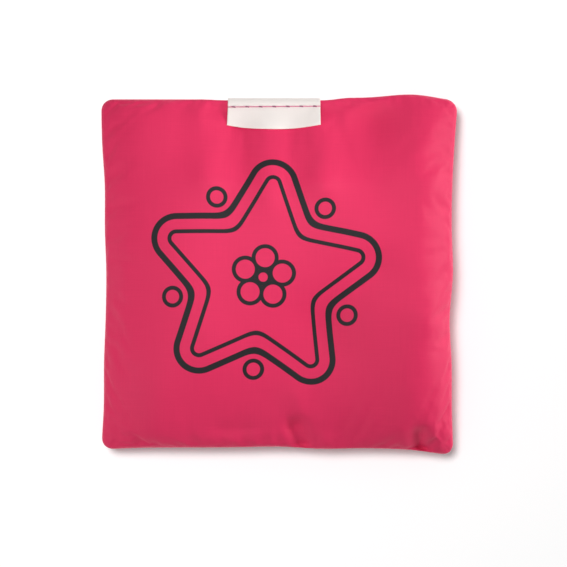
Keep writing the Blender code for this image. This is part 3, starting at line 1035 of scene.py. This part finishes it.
def path_length(path):
    return sum(math.hypot(y1 - y0, h1 - h0) for (y0, h0), (y1, h1) in zip(path, path[1:]))


print("label seat, mm:", round(label_seat / MM, 2), "off the seam plane")

# %% Ribbon halves
RIBBON_MAP = "flat_ribbon"
RIBBON_ACROSS, RIBBON_ALONG = 96, 48


def make_label_half(name, side, cover):
    """One half of the ribbon: a flat grid, laid column by column, with its longest and mean length."""
    tree = tree_of(cover)
    strip = bmesh.new()
    bmesh.ops.create_grid(strip, x_segments=RIBBON_ACROSS, y_segments=RIBBON_ALONG, size=0.5)
    uv = strip.loops.layers.uv.new(RIBBON_MAP)
    for face in strip.faces:
        for loop in face.loops:
            loop[uv].uv = (loop.vert.co.x * label_width / MM, loop.vert.co.y * label_width / MM)
    columns = {}
    lengths = []
    for vert in strip.verts:
        across, down = vert.co.x * 2, 0.5 - vert.co.y
        x = label_middle + across * label_width / 2
        if across not in columns:
            end = label_top - LABEL_DROP - LABEL_BOW * (1 - across**2)
            columns[across] = ribbon_path(tree, x, side, end)
            lengths.append(path_length(columns[across]))
        path = columns[across]
        y, height = point_along(path, down * path_length(path))
        free = max(stitch_line - y, 0.0) / (stitch_line - label_top + LABEL_DROP)
        height += LABEL_CURL * free**3
        aside = (across * LABEL_FLARE - LABEL_LEAN) * free
        vert.co = Vector((x + aside, y, SEAM_LEVEL + side * height))
    loose = [vert for vert in strip.verts if vert.co.y < stitch_line]
    for _ in range(LABEL_EASING):
        bmesh.ops.smooth_vert(strip, verts=loose, factor=0.5, use_axis_z=True)
    face_away(strip, Vector((label_middle, stitch_line, SEAM_LEVEL)))
    half = make_piece(name, strip, ribbon)
    add_wall(half, LABEL_THICKNESS, 1)
    longest, mean = max(lengths), sum(lengths) / len(lengths)
    print(name, "is cut, mm:", [round(length / MM, 2) for length in (label_width, longest, mean)])
    return half, longest, mean


# %% Ribbon material
RIBBON_WHITE = (0.925, 0.86, 0.825)
RIBBON_WARM = (0.89, 0.82, 0.78)
RIBBON_PITCH = 0.26
RIBBON_RELIEF = 0.02 * MM

ribbon, ribbon_tree, ribbon_shader = new_look("woven_ribbon")
ribbon_place = add_node(ribbon_tree, "UVMap")
ribbon_place.uv_map = RIBBON_MAP
ribbon_weave = use_group(ribbon_tree, weave, ribbon_place.outputs["UV"], Pitch=RIBBON_PITCH)
ribbon_colour = mix_colour(ribbon_tree, ribbon_weave.outputs["Tone"], RIBBON_WARM, RIBBON_WHITE)
ribbon_tree.links.new(ribbon_colour, ribbon_shader.inputs["Base Color"])
ribbon_normal = bump_from(ribbon_tree, ribbon_weave.outputs["Height"], RIBBON_RELIEF)
ribbon_tree.links.new(ribbon_normal, ribbon_shader.inputs["Normal"])
set_sockets(ribbon_shader, {"Roughness": 0.42, "Specular IOR Level": 0.4})

# %% Lay the ribbon
front_label, *front_cut = make_label_half("label_front_half", 1, front_cover)
back_label, *back_cut = make_label_half("label_back_half", -1, back_cover)

# %% [markdown]
# ## Closing stitches
#
# A lockstitch has two threads. The needle thread lies on the front and dives at each hole, where it
# loops round the thread on the back inside the cloth. Sewing thread is two plies twisted together, so
# its section is a figure of eight that turns as it goes along. The tube starts as a circle, and each
# ring is extruded from the last and then turned and moved to the next place.

# %% Threads
STITCH_PITCH = 3.85 * MM
STITCH_COUNT = 6
THREAD_DIAMETER = 0.30 * MM
LOOP_DIAMETER = 0.44 * MM
THREAD_SIDES = 10
PLY_WAIST = 0.20
TWIST_LENGTH = 0.75 * MM
STITCH_SLANT = 0.0085
STITCH_STEPS = 22
STITCH_END = 0.45
DIVE_SHARE = 0.09
DIVE_DEPTH = 0.16 * MM
LOOP_LENGTH = 1.05 * MM
LOOP_SLANT = math.radians(-6)
LOOP_RISE_SHARE = 1.1
LOOP_SINK_SHARE = 1.7
LOOP_STEPS = 14


def sweep_thread(thread, points, across, diameter):
    """Extrudes a twisted two-ply section along the points; across is level and square to the run."""
    ring = bmesh.ops.create_circle(thread, cap_ends=True, radius=1, segments=THREAD_SIDES)["verts"]
    front = ring[0].link_faces[0]
    travelled = 0.0
    for place, point in enumerate(points):
        if place:
            travelled += (point - points[place - 1]).length
            geometry = bmesh.ops.extrude_face_region(thread, geom=[front])["geom"]
            front = next(item for item in geometry if isinstance(item, bmesh.types.BMFace))
        ahead = points[min(place + 1, len(points) - 1)] - points[max(place - 1, 0)]
        up = ahead.cross(across).normalized()
        for number, vert in enumerate(front.verts):
            angle = 2 * math.pi * number / THREAD_SIDES
            ply = 1 + PLY_WAIST * (math.cos(2 * (angle - 2 * math.pi * travelled / TWIST_LENGTH)) - 1) / 2
            reach = diameter / 2 * ply
            vert.co = point + (across * math.cos(angle) + up * math.sin(angle)) * reach


def stitch_y(x):
    """The stitched line is hand-guided, so it slants a little."""
    return stitch_line + STITCH_SLANT * (x - label_middle)


def stitch_path(tree, side):
    """The thread's middle line: over the label between two holes, and a little down at each."""
    first = label_middle - STITCH_PITCH * STITCH_COUNT / 2
    ends = int(STITCH_STEPS * STITCH_END)
    points = []
    for step in range(-ends, STITCH_COUNT * STITCH_STEPS + ends + 1):
        along = step / STITCH_STEPS
        x = first + STITCH_PITCH * along
        from_hole = abs(along - round(along)) / DIVE_SHARE
        rest = height_over_seam(tree, x, stitch_y(x), side) + THREAD_DIAMETER / 2
        depth = DIVE_DEPTH * (1 - smooth_step(from_hole))
        points.append(Vector((x, stitch_y(x), SEAM_LEVEL + side * (rest - depth))))
    return points


def loop_path(tree, hole):
    """The lower thread where it is pulled up through a hole: a short slanting bridge. Its dark plum is
    partly painted shade, standing in for the shadow inside the needle hole.
    """
    middle = Vector((hole, stitch_y(hole), 0))
    along = Vector((math.cos(LOOP_SLANT), math.sin(LOOP_SLANT), 0))
    rest = SEAM_LEVEL + height_over_seam(tree, hole, stitch_y(hole), 1)
    points = []
    for step in range(LOOP_STEPS + 1):
        share = 2 * step / LOOP_STEPS - 1
        height = THREAD_DIAMETER * (LOOP_RISE_SHARE - LOOP_SINK_SHARE * abs(share) ** 3)
        points.append(middle + along * share * LOOP_LENGTH / 2 + Vector((0, 0, rest + height)))
    return points


# %% Thread material
NEEDLE_SHADES = ((0.84, 0.26, 0.42), (0.74, 0.15, 0.30))
# The lower thread's dark plum is partly its own colour and partly painted shade: on the loops at the holes
# it stands in for the shadow inside each needle hole.
BOBBIN_AND_HOLE_SHADE_COLOURS = ((0.40, 0.07, 0.19), (0.28, 0.03, 0.11))
SEAM_SHADES = ((0.78, 0.05, 0.16), (0.60, 0.03, 0.10))
FIBRE_SCALE = 3500
FIBRE_DETAIL = 2
FIBRE_RELIEF = 0.01 * MM


def noise_on(tree, settings):
    """A noise that is fixed to the piece."""
    texture = add_node(tree, "TexNoise", settings)
    tree.links.new(add_node(tree, "TexCoord").outputs["Object"], texture.inputs["Vector"])
    return texture.outputs["Fac"]


def thread_material(name, light, deep):
    """Spun thread: fine fibres that shade from one colour to the other."""
    material, tree, shader = new_look(name)
    shade = noise_on(tree, {"Scale": FIBRE_SCALE, "Detail": FIBRE_DETAIL})
    tree.links.new(mix_colour(tree, shade, deep, light), shader.inputs["Base Color"])
    tree.links.new(bump_from(tree, shade, FIBRE_RELIEF), shader.inputs["Normal"])
    set_sockets(shader, {"Roughness": 0.45, "Sheen Weight": 0.2})
    return material


needle_look = thread_material("needle_thread_pink", *NEEDLE_SHADES)
bobbin_and_hole_shade_look = thread_material("bobbin_thread_plum_and_hole_shade", *BOBBIN_AND_HOLE_SHADE_COLOURS)
seam_look = thread_material("seam_thread_pink", *SEAM_SHADES)
print("threads:", needle_look.name, bobbin_and_hole_shade_look.name, seam_look.name)

# %% Sew the label
def make_closing_thread(name, paths, across, diameter, material):
    thread = bmesh.new()
    for path in paths:
        sweep_thread(thread, path, across, diameter)
    face_away(thread, Vector((label_middle, stitch_line, 0)))
    piece = make_piece(name, thread, material)
    print(name, len(piece.data.polygons), "faces")
    return piece


front_tree, back_tree = tree_of(front_label), tree_of(back_label)
holes = [label_middle + STITCH_PITCH * (count - STITCH_COUNT / 2) for count in range(STITCH_COUNT + 1)]
bridges = [loop_path(front_tree, hole) for hole in holes]
level_across = Vector((0, 1, 0))
slanted_across = Vector((-math.sin(LOOP_SLANT), math.cos(LOOP_SLANT), 0))
top_thread = make_closing_thread(
    "needle_thread", [stitch_path(front_tree, 1)], level_across, THREAD_DIAMETER, needle_look
)
low_thread = make_closing_thread(
    "bobbin_thread", [stitch_path(back_tree, -1)], level_across, THREAD_DIAMETER, bobbin_and_hole_shade_look
)
# The loops are real lower thread, and their dark plum is also painted shade for the needle holes.
loops = make_closing_thread("bobbin_loops_and_hole_shade", bridges, slanted_across, LOOP_DIAMETER, bobbin_and_hole_shade_look)

for piece, node in (
    (top_thread, "closing_needle_thread"),
    (low_thread, "closing_bobbin_thread"),
    (loops, "closing_bobbin_thread"),
):
    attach(piece, "bag")
    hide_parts(node)
for half, body, side in ((front_label, "front_label_end", 1), (back_label, "back_label_end", -1)):
    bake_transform(half)
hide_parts("label_fold", "label_front_flap")
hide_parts("label_back_flap")

# %% [markdown]
# ## Filling
#
# The bag holds some thousands of small plastic pellets. They never show, but they are what makes it a
# bean bag, so each is there: a low-sided ball, a little flattened and turned its own way, in layers
# between the two covers.

# %% Pellets
PELLET_DIAMETER = 3.3 * MM
PELLET_GAP = 0.12 * MM
PELLET_FLATNESS = 0.86
PELLET_JITTER = 0.10 * MM
FILL_EDGE = 7.4 * MM
FILL_CLEARANCE = 0.25 * MM


def pellet_places(front_tree, back_tree):
    """Rows and layers of touching balls that fit between the covers, with a seeded shake."""
    random.seed(7)
    pitch = PELLET_DIAMETER + PELLET_GAP
    row_step, layer_step = pitch * math.sqrt(3) / 2, pitch * math.sqrt(2 / 3)
    keep_off = CLOTH_THICKNESS + FILL_CLEARANCE + PELLET_DIAMETER / 2
    rows, columns = int(HALF_LENGTH / row_step) + 1, int(HALF_WIDTH / pitch) + 1
    layers = {}
    for layer in range(int(packed_high.z / layer_step) + 1):
        z = keep_off + layer * layer_step
        for row in range(-rows, rows + 1):
            y = row * row_step + (layer % 2) * row_step * 2 / 3
            for column in range(-columns, columns + 1):
                x = (column + (row % 2) / 2) * pitch
                u, v = x / HALF_WIDTH, y / HALF_LENGTH
                if max(abs(u), abs(v)) >= 1 or edge_distance(u, v) < FILL_EDGE:
                    continue
                top = SEAM_LEVEL + height_over_seam(front_tree, x, y, 1)
                bottom = SEAM_LEVEL - height_over_seam(back_tree, x, y, -1)
                if bottom + keep_off <= z <= top - keep_off:
                    shake = Vector(random.uniform(-PELLET_JITTER, PELLET_JITTER) for _ in range(3))
                    layers.setdefault(layer, []).append(Vector((x, y, z)) + shake / 2)
    return list(layers.values())


def make_pellets(name, layers, material):
    """All pellets as one piece, built layer by layer, because a small mesh grows faster."""
    carrier = bpy.data.meshes.new("pellet_layer")
    everything = bmesh.new()
    for places in layers:
        layer = bmesh.new()
        for place in places:
            turn = Euler([random.uniform(0, math.tau) for _ in range(3)]).to_matrix().to_4x4()
            flat = Matrix.Diagonal((1, 1, PELLET_FLATNESS, 1))
            bmesh.ops.create_icosphere(layer, subdivisions=1, radius=PELLET_DIAMETER / 2,
                                       matrix=Matrix.Translation(place) @ turn @ flat)
        layer.to_mesh(carrier)
        layer.free()
        everything.from_mesh(carrier)
    bpy.data.meshes.remove(carrier)
    return make_piece(name, everything, material)


# %% Pellet material
PELLET_CREAM = (0.80, 0.78, 0.70)
PELLET_GREY = (0.62, 0.62, 0.58)
MOTTLE_SCALE = 260

pellet_look, pellet_tree, pellet_shader = new_look("pellet_plastic")
mottle = noise_on(pellet_tree, {"Scale": MOTTLE_SCALE})
mottled = mix_colour(pellet_tree, mottle, PELLET_GREY, PELLET_CREAM)
pellet_tree.links.new(mottled, pellet_shader.inputs["Base Color"])
set_sockets(pellet_shader, {"Roughness": 0.35})

# %% Fill the bag
layers = pellet_places(tree_of(front_cover), tree_of(back_cover))
pellets = make_pellets("pellets", layers, pellet_look)
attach(pellets, "bag")
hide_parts("pellet_fill")
print("pellets:", sum(len(places) for places in layers), "in", len(layers), "layers")

# %% Seam threads
for node in ("seam_needle_thread", "seam_bobbin_thread"):
    bpy.data.objects[node].material_slots[0].material = seam_look
